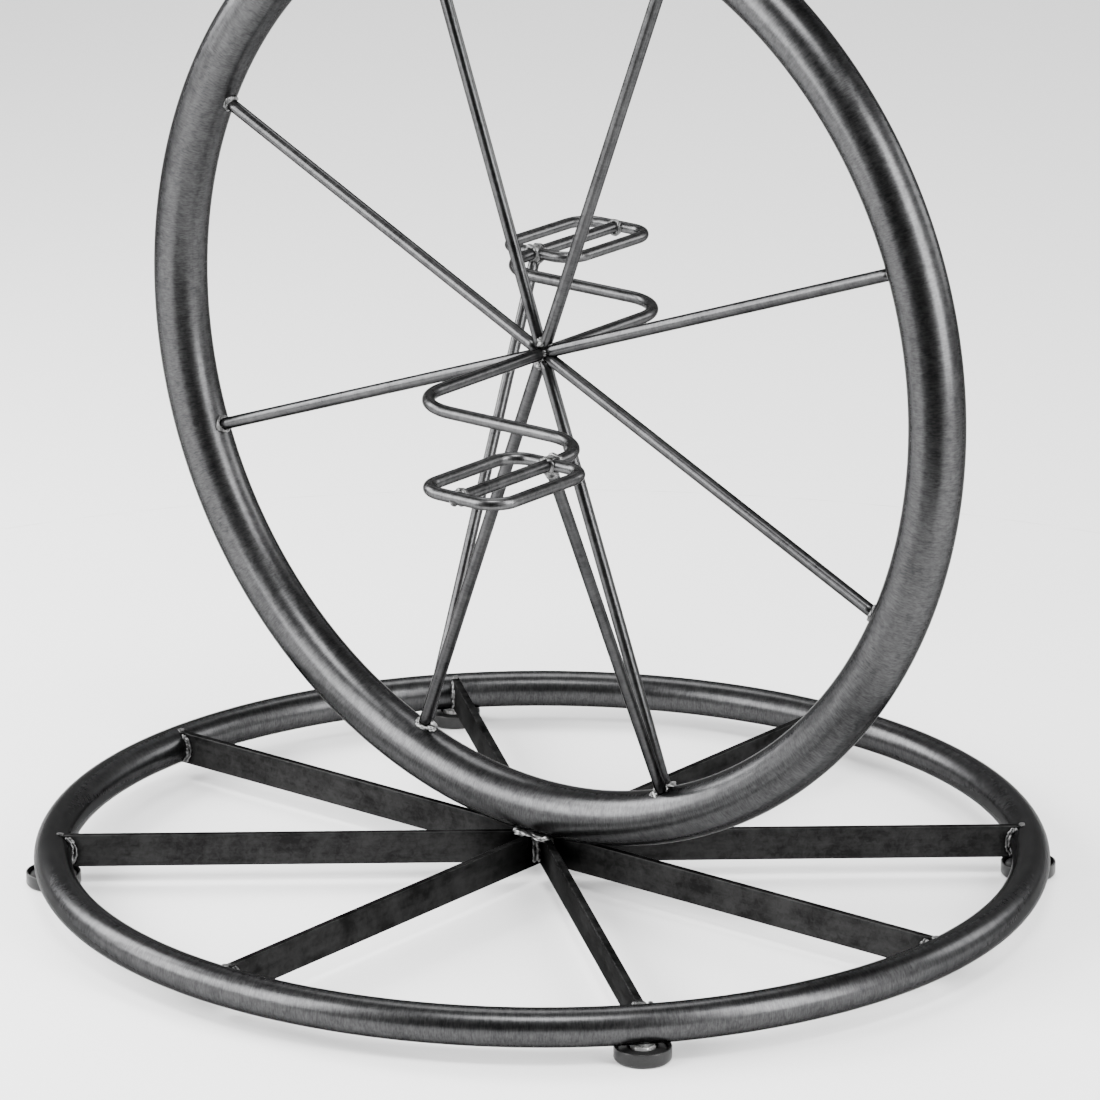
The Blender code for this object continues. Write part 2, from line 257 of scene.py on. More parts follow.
def brushed_steel(name, dark, light, rough, streak, depth, patch=38.0, mixing=0.5, coat=0.12):
    """Dark steel brushed across the length and lacquered: streaks come and go under larger
    cloudy patches; both change the colour and the roughness, and the streaks dent it slightly."""
    mat = bpy.data.materials.new(name)
    mat.use_nodes = True
    tree = mat.node_tree
    link = tree.links.new
    bsdf = tree.nodes["Principled BSDF"]
    bsdf.inputs["Metallic"].default_value = 1.0
    bsdf.inputs["Specular Tint"].default_value = EDGE_TINT
    bsdf.inputs["Coat Weight"].default_value = coat
    bsdf.inputs["Coat Roughness"].default_value = COAT_ROUGHNESS
    skin = node(tree, "ShaderNodeAttribute")
    skin.attribute_name = "skin"
    place = node(tree, "ShaderNodeTexCoord")
    fine = node(tree, "ShaderNodeTexNoise", Scale=streak, Detail=5.0, Roughness=0.65)
    cloud = node(tree, "ShaderNodeTexNoise", Scale=patch, Detail=6.0, Roughness=0.62, Distortion=0.6)
    blotch = node(tree, "ShaderNodeTexNoise", Scale=patch * BLOTCH_FINENESS, Detail=3.0, Roughness=0.6,
                  Distortion=0.8)
    speck = node(tree, "ShaderNodeTexNoise", Scale=SPECK_SCALE, Detail=2.0, Roughness=0.5)
    link(skin.outputs["Vector"], fine.inputs["Vector"])
    for texture in (cloud, blotch, speck):
        link(place.outputs["Object"], texture.inputs["Vector"])
    both = node(tree, "ShaderNodeMix")
    both.inputs["Factor"].default_value = mixing
    link(fine.outputs["Fac"], both.inputs["A"])
    link(cloud.outputs["Fac"], both.inputs["B"])
    three = node(tree, "ShaderNodeMix")
    three.inputs["Factor"].default_value = BLOTCH_SHARE
    link(both.outputs["Result"], three.inputs["A"])
    link(blotch.outputs["Fac"], three.inputs["B"])
    tint = node(tree, "ShaderNodeValToRGB")
    tint.color_ramp.elements[0].position = TINT_FROM
    tint.color_ramp.elements[0].color = (*dark, 1.0)
    tint.color_ramp.elements[1].position = TINT_TO
    tint.color_ramp.elements[1].color = (*light, 1.0)
    link(three.outputs["Result"], tint.inputs["Fac"])
    link(tint.outputs["Color"], bsdf.inputs["Base Color"])
    shine = node(tree, "ShaderNodeMapRange")
    shine.inputs["From Min"].default_value = SHINE_FROM
    shine.inputs["From Max"].default_value = SHINE_TO
    shine.inputs["To Min"].default_value = rough[0]
    shine.inputs["To Max"].default_value = rough[1]
    link(three.outputs["Result"], shine.inputs["Value"])
    link(shine.outputs["Result"], bsdf.inputs["Roughness"])
    relief = node(tree, "ShaderNodeMix")
    relief.inputs["Factor"].default_value = SPECK_SHARE
    link(fine.outputs["Fac"], relief.inputs["A"])
    link(speck.outputs["Fac"], relief.inputs["B"])
    bump = node(tree, "ShaderNodeBump", Strength=0.5, Distance=depth)
    link(relief.outputs["Result"], bump.inputs["Height"])
    link(bump.outputs["Normal"], bsdf.inputs["Normal"])
    return mat


def finished(obj, mat, body, slot, *nodes):
    """Give a piece its material and the body that it rides on, and hide the solids it stands for; its slot
    is not used.
    """
    obj.data.materials.append(mat)
    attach(obj, body)
    if nodes:
        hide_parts(*nodes)
    return obj


ring_low, ring_high = (np.array(v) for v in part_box("base_ring"))
ring_tube = (ring_high[2] - ring_low[2]) / 2
ring_radius = (ring_high[0] - ring_low[0]) / 2 - ring_tube
ring_z = (ring_high[2] + ring_low[2]) / 2

tube_steel = brushed_steel("tube_steel", dark=(0.029, 0.029, 0.030), light=(0.060, 0.060, 0.061),
                           rough=(0.30, 0.36), streak=1500.0, depth=0.000035, mixing=0.20)
turn = np.linspace(0, 2 * np.pi, RING_STEPS, endpoint=False)
ring_path = np.stack([ring_radius * np.cos(turn), ring_radius * np.sin(turn), ring_z + 0 * turn], axis=-1)
surface = carried(ring_path, ring_tube, RING_SIDES, (0, 0, 1), True)
foot_ring = skin_mesh("foot_ring", (*surface, True, False))

foot_spots = {}
for side_name in ("front", "right", "back", "left"):
    low, high = (np.array(v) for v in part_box("foot_bush_" + side_name))
    foot_spots[side_name] = (low + high) / 2
turn = np.linspace(0, 2 * np.pi, BORE_SIDES, endpoint=False)
drills = []
for spot in foot_spots.values():
    levels = np.array([BORE_BELOW, ring_z + BORE_TOP])[:, None]
    drill = np.stack([spot[0] + BORE_RADIUS * np.cos(turn) + 0 * levels,
                      spot[1] + BORE_RADIUS * np.sin(turn) + 0 * levels, levels + 0 * turn], axis=-1)
    drills.append((drill, drill, False, True))
drill_bits = skin_mesh("drill_bits", *drills)
drill_bits.data.polygons.foreach_set("use_smooth", [False] * len(drill_bits.data.polygons))
cut = foot_ring.modifiers.new("bores", "BOOLEAN")
cut.object = drill_bits
cut.operation = "DIFFERENCE"
cut.solver = "EXACT"
bored = foot_ring.evaluated_get(bpy.context.evaluated_depsgraph_get())
foot_ring.data = bpy.data.meshes.new_from_object(bored)
foot_ring.modifiers.clear()
bpy.data.objects.remove(drill_bits)
at = np.empty(len(foot_ring.data.vertices) * 3)
foot_ring.data.vertices.foreach_get("co", at)
at = at.reshape(-1, 3)
centre = np.concatenate([at[:, :2] / np.linalg.norm(at[:, :2], axis=1, keepdims=True) * ring_radius,
                         np.full((len(at), 1), ring_z)], axis=1)
foot_ring.data.attributes["skin"].data.foreach_set("vector", (centre + SQUEEZE * (at - centre)).ravel())
finished(foot_ring, tube_steel, "frame", "dark_tube", "base_ring")

# ---------------------------------------------------------------------------------------------
# Base bars: eight flat steel bars on edge, cut to the ring's curve at their outer ends and welded
# together in the middle, where their top edges are filed away under the wheel.
# ---------------------------------------------------------------------------------------------
BAR_THICK = 0.0035
BAR_HEIGHT = 0.0154
BAR_RISE = 0.0081  # top edge above the ring tube's middle
BAR_START = 0.0020
BAR_EDGE = 0.0004  # radius of the long edges
BAR_FACE_STEPS = 16
BAR_END_BITE = 0.0002  # into the ring's tube
BAR_END_LIMIT = 0.0084  # height past which the end's curve goes no further
BAR_END_INNER = 0.8  # an inner outline on each end face, as a share of the thickness
UNDER_WHEEL, BEYOND_WHEEL = 0.14, 0.16  # shares of the length, with closer sections before them
GAP = 0.0003
# Painted shade on the bars near the middle, under the wheel: inner and outer radius, and the least share of
# the colour that is left.
SHADE_INNER, SHADE_OUTER, SHADE_LEAST = 0.008, 0.042, 0.22

wheel_low, wheel_high = (np.array(v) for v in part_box("wheel_rim"))
wheel_tube = (wheel_high[1] - wheel_low[1]) / 2
wheel_radius = (wheel_high[0] - wheel_low[0]) / 2 - wheel_tube
hub = (wheel_low + wheel_high) / 2


def under_wheel(x, y):
    """Height of the wheel tube's underside above a point: the hub's height less the distance
    down to the lowest point of the tube's circle there; far above where the tube isn't."""
    half = np.clip((wheel_tube + GAP) ** 2 - y ** 2, 0, None)
    low = hub[2] - np.sqrt((wheel_radius + np.sqrt(half)) ** 2 - x ** 2)
    return np.where(half > 0, low, 1.0)


def bar_outline():
    """Rounded rectangle as offsets (y, height fraction from 0 to 1): four rounded corners with
    straight sides between, the long sides cut into steps so that the end can follow a curve."""
    a = np.linspace(0, np.pi / 2, 4)
    half_y, half_z = BAR_THICK / 2 - BAR_EDGE, BAR_HEIGHT / 2 - BAR_EDGE
    corners = [(1, 1, 0), (-1, 1, 1), (-1, -1, 2), (1, -1, 3)]
    parts = []
    for y, z, quarter in corners:
        b = a + quarter * np.pi / 2
        corner = (y * half_y + BAR_EDGE * np.cos(b), z * half_z + BAR_EDGE * np.sin(b))
        parts.append(np.stack(corner, axis=-1))
        if quarter in (1, 3):
            face = 1 if quarter == 3 else -1
            z_side = face * np.linspace(-half_z, half_z, BAR_FACE_STEPS)[1:-1]
            parts.append(np.stack([0 * z_side + face * BAR_THICK / 2, z_side], axis=-1))
    out = np.concatenate(parts)
    return out[:, 0], (out[:, 1] + BAR_HEIGHT / 2) / BAR_HEIGHT


def flat_bar(name, low, high):
    """Bar lying along the line from the middle to its box's centre. Its outline, a rounded
    rectangle, is carried outwards; the last section's reach depends on height, so that it bends
    round the ring tube; the upper edge drops to clear the wheel tube near the middle."""
    mid = (low + high) / 2
    heading = math.atan2(mid[1], mid[0])
    if abs(mid[0]) < 1e-4 or abs(mid[1]) < 1e-4:
        heading = round(heading / (math.pi / 2)) * math.pi / 2
    out = np.array([math.cos(heading), math.sin(heading), 0.0])
    across = np.array([-out[1], out[0], 0.0])
    bottom, top = low[2], ring_z + BAR_RISE
    y, f = bar_outline()
    share = np.concatenate([np.linspace(0, UNDER_WHEEL, 22), np.linspace(BEYOND_WHEEL, 1.0, 30)])[:, None]
    z_flat = bottom + (top - bottom) * f
    offset = np.clip(z_flat - ring_z, -BAR_END_LIMIT, BAR_END_LIMIT)
    end = ring_radius - np.sqrt((ring_tube - BAR_END_BITE) ** 2 - offset ** 2)
    s = BAR_START + share * (end - BAR_START)
    clear = np.minimum.reduce([under_wheel(*(out[:2, None, None] * s + across[:2, None, None] * k))
                               for k in (-BAR_THICK / 2, 0, BAR_THICK / 2)])
    z = bottom + (np.minimum(top, clear) - bottom) * f
    wide = np.ones_like(s) * y
    s = np.concatenate([s[:1], s[:1], s, s[-1:], s[-1:]])
    z = np.concatenate([z[:1], z[:1], z, z[-1:], z[-1:]])
    wide = np.concatenate([wide[:1] * 0, wide[:1] * BAR_END_INNER, wide, wide[-1:] * BAR_END_INNER,
                           wide[-1:] * 0])
    pts = out * s[..., None] + across * wide[..., None] + np.array([0, 0, 1.0]) * z[..., None]
    skin = np.stack([s * 0.15 + heading, wide, z], axis=-1)
    bar = skin_mesh(name, (pts, skin, False, False))
    bm = bmesh.new()
    bm.from_mesh(bar.data)
    bmesh.ops.remove_doubles(bm, verts=bm.verts, dist=0.00002)
    bmesh.ops.recalc_face_normals(bm, faces=bm.faces)
    bm.to_mesh(bar.data)
    bm.free()
    return bar, heading


def painted_shade_near_middle(mat, inner, outer, least):
    """Paint shade into a steel near the upright line through the middle, where the wheel above and the
    close-set bars shade it: its colour times a share that rises from the least at the inner radius to 1 at
    the outer."""
    tree = mat.node_tree
    place = node(tree, "ShaderNodeTexCoord")
    flat = node(tree, "ShaderNodeVectorMath")
    flat.operation = "MULTIPLY"
    flat.inputs[1].default_value = (1.0, 1.0, 0.0)
    away = node(tree, "ShaderNodeVectorMath")
    away.operation = "LENGTH"
    share = node(tree, "ShaderNodeMapRange")
    share.interpolation_type = "SMOOTHSTEP"
    share.inputs["From Min"].default_value = inner
    share.inputs["From Max"].default_value = outer
    share.inputs["To Min"].default_value = least
    dimmed = node(tree, "ShaderNodeVectorMath")
    dimmed.operation = "SCALE"
    bsdf = tree.nodes["Principled BSDF"]
    colour = bsdf.inputs["Base Color"].links[0].from_socket
    tree.links.new(place.outputs["Object"], flat.inputs[0])
    tree.links.new(flat.outputs["Vector"], away.inputs[0])
    tree.links.new(away.outputs["Value"], share.inputs["Value"])
    tree.links.new(colour, dimmed.inputs[0])
    tree.links.new(share.outputs["Result"], dimmed.inputs["Scale"])
    tree.links.new(dimmed.outputs["Vector"], bsdf.inputs["Base Color"])


bar_steel = brushed_steel("bar_steel", dark=(0.011, 0.011, 0.011), light=(0.032, 0.032, 0.032),
                          rough=(0.42, 0.62), streak=260.0, depth=0.00003, patch=60.0, mixing=0.6, coat=0.0)
# Painted shade: the bars' colour darkens towards the middle, under the wheel.
painted_shade_near_middle(bar_steel, SHADE_INNER, SHADE_OUTER, SHADE_LEAST)
bar_headings = {}
for side_name in ("front", "wheel_front", "right", "mid_right", "back", "wheel_back", "left", "mid_left"):
    solid = "base_bar_" + side_name
    bar, heading = flat_bar("flat_bar_" + side_name, *(np.array(v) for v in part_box(solid)))
    bar_headings[side_name] = heading
    finished(bar, bar_steel, "frame", "dark_flat", solid)

# ---------------------------------------------------------------------------------------------
# Wheel rim: a thicker steel tube rolled into a circle and stood upright on the bars, finished
# like the foot ring.
# ---------------------------------------------------------------------------------------------
RIM_STEPS = 480
RIM_SIDES = 64

turn = np.linspace(0, 2 * np.pi, RIM_STEPS, endpoint=False)
rim_path = np.stack([wheel_radius * np.cos(turn), 0 * turn, wheel_radius * np.sin(turn)], axis=-1) + hub
surface = carried(rim_path, wheel_tube, RIM_SIDES, (0, 1, 0), True)
rim = skin_mesh("rim_tube", (*surface, True, False))
finished(rim, tube_steel, "frame", "dark_tube", "wheel_rim")

# ---------------------------------------------------------------------------------------------
# Wheel spokes: eight round steel rods, welded to the rim's inner side and, in the middle, to
# each other and to the crank rod.
# ---------------------------------------------------------------------------------------------
SPOKE_RADIUS = 0.0029
SPOKE_START = 0.0025  # from the hub's middle
SPOKE_BITE = 0.0008  # into the rim's tube
SPOKE_STEPS = 40
SPOKE_SIDES = 24


def straight(start, end, count):
    """Evenly spaced points on the line between two points."""
    return np.linspace(np.array(start, float), np.array(end, float), count)


rod_steel = brushed_steel("rod_steel", dark=(0.030, 0.030, 0.031), light=(0.062, 0.062, 0.063),
                          rough=(0.26, 0.36), streak=1300.0, depth=0.00002)
spoke_ways = []
for k in range(1, 9):
    solid = "wheel_spoke_%d" % k
    low, high = (np.array(v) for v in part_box(solid))
    way = (low + high) / 2 - hub
    way[1] = 0
    way /= np.linalg.norm(way)
    spoke_ways.append(way)
    reach = wheel_radius - wheel_tube + SPOKE_BITE
    path = straight(hub + way * SPOKE_START, hub + way * reach, SPOKE_STEPS)
    surface = carried(path, SPOKE_RADIUS, SPOKE_SIDES, (0, 1, 0), False)
    spoke = skin_mesh("spoke_%d" % k, (*surface, False, True))
    finished(spoke, rod_steel, "frame", "dark_rod", solid)

# ---------------------------------------------------------------------------------------------
# Crank rod: one steel rod through the hub, bent flat into a Z, its ends welded to the pedals.
# ---------------------------------------------------------------------------------------------
CRANK_RADIUS = 0.0029
CRANK_BEND = 0.0235
CRANK_BEND_STEPS = 24
CRANK_SPACING = 0.0014
ROD_SIDES = 28
# Corners of the front half from the hub; the rear half is the same, mirrored through the hub.
CRANK_CORNERS = np.array([(-0.002, -0.0972, -0.0016), (0.1013, -0.0907, -0.0038),
                          (0.1030, -0.1220, -0.0041)])


def filleted(corners, radius, closed, steps):
    """Path through corner points, each corner replaced by an arc that touches both its sides."""
    corners = np.asarray(corners, float)
    count = len(corners)
    parts = [] if closed else [corners[:1]]
    for i in (range(count) if closed else range(1, count - 1)):
        before, at, after = corners[i - 1], corners[i], corners[(i + 1) % count]
        u = (before - at) / np.linalg.norm(before - at)
        v = (after - at) / np.linalg.norm(after - at)
        half = math.acos(float(np.clip(u @ v, -1, 1))) / 2
        centre = at + (u + v) / np.linalg.norm(u + v) * radius / math.sin(half)
        first = at + u * radius / math.tan(half) - centre
        last = at + v * radius / math.tan(half) - centre
        sweep = math.pi - 2 * half
        f = np.linspace(0, 1, steps)[:, None]
        arc = (np.sin((1 - f) * sweep) * first + np.sin(f * sweep) * last) / math.sin(sweep)
        parts.append(centre + arc)
    if not closed:
        parts.append(corners[-1:])
    return np.concatenate(parts)


def evened(path, spacing, closed):
    """The same path with points a constant distance apart."""
    if closed:
        path = np.concatenate([path, path[:1]])
    run = np.concatenate([[0], np.cumsum(np.linalg.norm(np.diff(path, axis=0), axis=1))])
    count = int(run[-1] / spacing) + 1
    t = np.linspace(0, run[-1], count, endpoint=not closed)
    return np.stack([np.interp(t, run, path[:, i]) for i in range(3)], axis=-1)


# Painted highlight: a lighter copy of the rod steel, so the crank rod looks brighter than the lamps make
# it.
crank_steel_lit = brushed_steel("crank_steel_lit", dark=(0.038, 0.038, 0.039), light=(0.076, 0.076, 0.077),
                            rough=(0.28, 0.38), streak=1300.0, depth=0.00002)
crank_bends = np.concatenate([hub - CRANK_CORNERS[::-1], hub + CRANK_CORNERS])
crank_path = evened(filleted(crank_bends, CRANK_BEND, False, CRANK_BEND_STEPS), CRANK_SPACING, False)
surface = carried(crank_path, CRANK_RADIUS, ROD_SIDES, (0, 0, 1), False)
crank = skin_mesh("crank_rod_bent", (*surface, False, True))
finished(crank, crank_steel_lit, "frame", "dark_rod", "crank_rod")

# ---------------------------------------------------------------------------------------------
# Pedals: on each side a rod bent into a rounded rectangle and welded shut, with a middle bar.
# ---------------------------------------------------------------------------------------------
PEDAL_BEND = 0.0118
PEDAL_BEND_STEPS = 20
PEDAL_SPACING = 0.0010
PEDAL_BAR_BITE = 0.7
PEDAL_BAR_STEPS = 30

# Painted highlight: a lighter, slightly rougher copy of the rod steel, so the pedals look as bright as
# where the lamp above lights them.
pedal_steel_lit = brushed_steel("pedal_steel_lit", dark=(0.046, 0.046, 0.047), light=(0.094, 0.094, 0.095),
                            rough=(0.28, 0.40), streak=1300.0, depth=0.00002)
pedal_middles = {}
for key in ("front", "rear"):
    low, high = (np.array(v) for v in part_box("pedal_loop_" + key))
    mid = (low + high) / 2
    rod = (high[2] - low[2]) / 2
    half = (high - low) / 2 - rod
    pedal_middles[key] = (mid, half, rod)
    corners = mid + np.array([(-half[0], -half[1], 0), (half[0], -half[1], 0), (half[0], half[1], 0),
                              (-half[0], half[1], 0)])
    loop_path = evened(filleted(corners, PEDAL_BEND, True, PEDAL_BEND_STEPS), PEDAL_SPACING, True)
    surface = carried(loop_path, rod, ROD_SIDES, (0, 0, 1), True)
    ring = skin_mesh("pedal_ring_" + key, (*surface, True, False))
    finished(ring, pedal_steel_lit, "frame", "dark_rod", "pedal_loop_" + key)
    bar_half = (0, half[1] - rod * PEDAL_BAR_BITE, 0)
    bar_path = straight(mid - bar_half, mid + bar_half, PEDAL_BAR_STEPS)
    surface = carried(bar_path, rod, ROD_SIDES, (0, 0, 1), False)
    bar = skin_mesh("pedal_middle_" + key, (*surface, False, True))
    finished(bar, pedal_steel_lit, "frame", "dark_rod", "pedal_bar_" + key)

# ---------------------------------------------------------------------------------------------
# Struts: a rod from under each pedal's inner side down to the rim, beside a spoke's end.
# ---------------------------------------------------------------------------------------------
STRUT_RADIUS = 0.0027
STRUT_DROP = 0.6  # of the pedal rod's radius, below its middle
STRUT_STOP = 0.0108  # short of the rim tube's middle
STRUT_BESIDE = 0.0034  # from the spoke's middle
STRUT_STEPS = 40
STRUT_SIDES = 24
strut_ends = {}
for key, sign, way in (("front", 1, spoke_ways[6]), ("rear", -1, spoke_ways[5])):
    mid, half, rod = pedal_middles[key]
    top = mid + (0, sign * half[1], -rod * STRUT_DROP)
    low = hub + way * (wheel_radius - STRUT_STOP) - (0, sign * STRUT_BESIDE, 0)
    strut_ends[key] = (top, low)
    path = straight(top, low, STRUT_STEPS)
    surface = carried(path, STRUT_RADIUS, STRUT_SIDES, (0, 1, 0), False)
    strut = skin_mesh("strut_rod_" + key, (*surface, False, True))
    finished(strut, rod_steel, "frame", "dark_rod", "strut_" + key)

# ---------------------------------------------------------------------------------------------
# Rim welds: a lumpy collar of weld metal round each spoke where it meets the rim. The two lowest
# spokes share a larger and brighter one with the strut beside them.
# ---------------------------------------------------------------------------------------------
SCALE_FINENESS = 420.0
PIT_DEPTH = 0.0002
BEAD_SIDES = 18
BEAD_SPACING = 0.3
LUMP_ROWS, LUMP_COLS = 24, 28
COLLAR_STEPS = 48
RIM_DIP = 40.0  # how fast a collar's sides bend down to the round tube
SHARED_WELDS = {5: "rear", 6: "front"}  # by the spoke's place, counted from 0


def weld_steel(name, dark, light):
    """Bare weld metal: bright and uneven, with fine pits and dark scale in the hollows."""
    mat = bpy.data.materials.new(name)
    mat.use_nodes = True
    tree = mat.node_tree
    link = tree.links.new
    bsdf = tree.nodes["Principled BSDF"]
    bsdf.inputs["Metallic"].default_value = 1.0
    place = node(tree, "ShaderNodeTexCoord")
    scale = node(tree, "ShaderNodeTexNoise", Scale=SCALE_FINENESS, Detail=5.0, Roughness=0.6,
                 Distortion=0.5)
    link(place.outputs["Object"], scale.inputs["Vector"])
    tint = node(tree, "ShaderNodeValToRGB")
    tint.color_ramp.elements[0].position = 0.38
    tint.color_ramp.elements[0].color = (*dark, 1.0)
    tint.color_ramp.elements[1].position = 0.60
    tint.color_ramp.elements[1].color = (*light, 1.0)
    link(scale.outputs["Fac"], tint.inputs["Fac"])
    link(tint.outputs["Color"], bsdf.inputs["Base Color"])
    shine = node(tree, "ShaderNodeMapRange")
    shine.inputs["To Min"].default_value = 0.24
    shine.inputs["To Max"].default_value = 0.52
    link(scale.outputs["Fac"], shine.inputs["Value"])
    link(shine.outputs["Result"], bsdf.inputs["Roughness"])
    bump = node(tree, "ShaderNodeBump", Strength=0.5, Distance=PIT_DEPTH)
    link(scale.outputs["Fac"], bump.inputs["Height"])
    link(bump.outputs["Normal"], bsdf.inputs["Normal"])
    return mat


def waves(rows, cols, seed, amount):
    """Lumpiness over a grid that closes both ways: one plus a seeded sum of cosines that make
    whole turns along the rows and the columns."""
    rng = np.random.default_rng(seed)
    u = np.linspace(0, 2 * np.pi, rows, endpoint=False)[:, None]
    v = np.linspace(0, 2 * np.pi, cols, endpoint=False)
    total = np.zeros((rows, cols))
    for turns in (1, 2, 3, 4, 5, 7, 9):
        total += np.cos(turns * u + rng.integers(-2, 3) * v + rng.uniform(0, 2 * np.pi)) / math.sqrt(turns)
    return 1 + amount * total / 1.6


def bead(path, radius, seed, closed=False, amount=0.22):
    """Weld bead: a round section along a path, its radius times the waves; where it isn't closed
    its ends are domes, so the radius follows a circle over the last radius's length."""
    path = evened(np.asarray(path, float), radius * BEAD_SPACING, closed)
    wide = radius * waves(len(path), BEAD_SIDES, seed, amount)
    if not closed:
        run = np.arange(len(path)) * radius * BEAD_SPACING
        near = np.clip(np.minimum(run, run[-1] - run) / radius, 0.03, 1)
        wide *= np.sqrt(1 - (1 - near) ** 2)[:, None]
    reach = path.max(axis=0) - path.min(axis=0)
    across = np.eye(3)[int(np.argmin(reach))]
    pts, skin = carried(path, wide, BEAD_SIDES, across, closed)
    return pts, skin, closed, not closed


def lump(centre, axes, seed, amount=0.14):
    """Lumpy ellipsoid: the centre plus a direction on the unit sphere, times the waves, times
    the three half axes; the waves fade out at the poles."""
    lat = np.linspace(-np.pi / 2 + 0.06, np.pi / 2 - 0.06, LUMP_ROWS)[:, None]
    lon = np.linspace(0, 2 * np.pi, LUMP_COLS, endpoint=False)
    unit = np.stack([np.cos(lat) * np.cos(lon), np.cos(lat) * np.sin(lon), np.sin(lat) + 0 * lon], axis=-1)
    unit = unit * (1 + (waves(LUMP_ROWS, LUMP_COLS, seed, amount) - 1) * np.cos(lat))[..., None]
    axes = np.diag(axes) if np.ndim(axes) == 1 else np.asarray(axes)
    pts = np.asarray(centre, float) + unit @ axes
    return pts, pts, False, True


def collar(centre, way, radius, thick, seed, dip=0.0):
    """Closed bead round a rod: a circle square to the rod, its sides bent along the rod by the
    dip times the square of the offset, to follow a round tube."""
    a = np.linspace(0, 2 * np.pi, COLLAR_STEPS, endpoint=False)[:, None]
    way = np.asarray(way, float)
    side = np.array([0, 1.0, 0]) if abs(way[1]) < 0.7 else np.array([1.0, 0, 0])
    side = side - way * (side @ way)
    side /= np.linalg.norm(side)
    other = np.cross(way, side)
    ring = np.asarray(centre) + radius * (np.cos(a) * side + np.sin(a) * other)
    ring = ring + way * dip * (radius * np.cos(a)) ** 2
    return bead(ring, thick, seed, closed=True, amount=0.3)


weld = weld_steel("weld_steel", (0.09, 0.09, 0.09), (0.30, 0.30, 0.296))
weld_dark = weld_steel("weld_steel_dark", (0.045, 0.045, 0.045), (0.15, 0.15, 0.15))
for k, way in enumerate(spoke_ways):
    foot = hub + way * (wheel_radius - wheel_tube)
    shells = [collar(foot - way * 0.0004, way, SPOKE_RADIUS + 0.0003, 0.0012, k, dip=RIM_DIP)]
    if k in SHARED_WELDS:
        key = SHARED_WELDS[k]
        top, low = strut_ends[key]
        outward = -1 if key == "front" else 1
        upward = (top - low) / np.linalg.norm(top - low)
        along = np.cross(way, (0, 1, 0))
        shells += [collar(low + (top - low) * 0.004, upward, STRUT_RADIUS + 0.0004, 0.0015, 40 + k),
                   lump((foot + low) / 2 - way * 0.0004,
                        [along * 0.0042, (0, 0.0046, 0), way * 0.0022], 50 + k, 0.22),
                   lump(foot + along * 0.0042 - way * 0.0003, (0.0022, 0.0025, 0.0018), 60 + k, 0.2),
                   lump(low - along * 0.0036 + (0, outward * 0.0012, 0), (0.0026, 0.0022, 0.0018),
                        70 + k, 0.2)]
    metal = weld if k in SHARED_WELDS else weld_dark
    finished(skin_mesh("rim_weld_%d" % (k + 1), *shells), metal, "frame", "weld_metal")

# ---------------------------------------------------------------------------------------------
# Hub weld: the spokes run in to the crank rod and are joined to it and to each other by a lumpy
# mass of weld metal, taller than it is wide.
# ---------------------------------------------------------------------------------------------
# Lumps are given by their offset from the hub's middle and their half axes.
HUB_CORE = (0.0042, 0.0038, 0.0046)
HUB_LUMPS = [((0.0003, -0.0010, 0.0054), (0.0024, 0.0024, 0.0030)),
             ((-0.0005, -0.0012, -0.0052), (0.0026, 0.0024, 0.0028)),
             ((0.0002, 0.0014, 0.0050), (0.0026, 0.0023, 0.0030)),
             ((0.0004, 0.0013, -0.0050), (0.0026, 0.0023, 0.0028)),
             ((0.0032, -0.0014, 0.0010), (0.0022, 0.0018, 0.0017)),
             ((-0.0034, -0.0012, 0.0008), (0.0022, 0.0018, 0.0017))]
HUB_BEAD_FROM, HUB_BEAD_TO, HUB_BEAD = 0.0030, 0.0074, 0.0013

hub_shells = [lump(hub, HUB_CORE, 101, 0.16)]
hub_shells += [lump(hub + offset, axes, 102 + k, 0.2) for k, (offset, axes) in enumerate(HUB_LUMPS)]
for k, (way, nxt) in enumerate(zip(spoke_ways, spoke_ways[1:] + spoke_ways[:1])):
    between = (way + nxt) / np.linalg.norm(way + nxt)
    path = straight(hub + between * HUB_BEAD_FROM, hub + between * HUB_BEAD_TO, 6)
    hub_shells.append(bead(path, HUB_BEAD, 110 + k))
finished(skin_mesh("hub_weld", *hub_shells), weld_dark, "frame", "weld_metal", "hub_weld_boss")

# ---------------------------------------------------------------------------------------------
# Base weld: the bars meet in a core of weld metal with a bead up every corner between them, and
# bright beads along both sides of the wheel's tube join it to the bars' top edges.
# ---------------------------------------------------------------------------------------------
CORE_RADIUS = 0.0050
# A corner bead's ends are (distance from the middle, height); the other beads are paths.
CORNER_BEAD_LOW, CORNER_BEAD_HIGH, CORNER_BEAD = (0.0056, 0.0105), (0.0060, 0.0212), 0.0015
FRONT_BEADS = [([(0.0008, -0.0076, 0.0104), (0.0009, -0.0080, 0.0150), (0.0011, -0.0085, 0.0230)], 0.0015),
               ([(0.0030, -0.0068, 0.0118), (0.0031, -0.0072, 0.0160), (0.0033, -0.0078, 0.0226)], 0.0013)]
SEAM_FROM, SEAM_TO, SEAM_BESIDE, SEAM_HEIGHT, SEAM_BEAD = -0.0110, 0.0125, 0.0080, 0.0238, 0.0018
SEAM_LUMPS = [((-0.0070, 0.0087, 0.0242), (0.0030, 0.0018, 0.0013), 0.2),
              ((-0.0020, 0.0090, 0.0245), (0.0048, 0.0025, 0.0016), 0.22),
              ((0.0044, 0.0088, 0.0241), (0.0046, 0.0022, 0.0015), 0.22),
              ((0.0096, 0.0084, 0.0236), (0.0034, 0.0019, 0.0015), 0.25)]

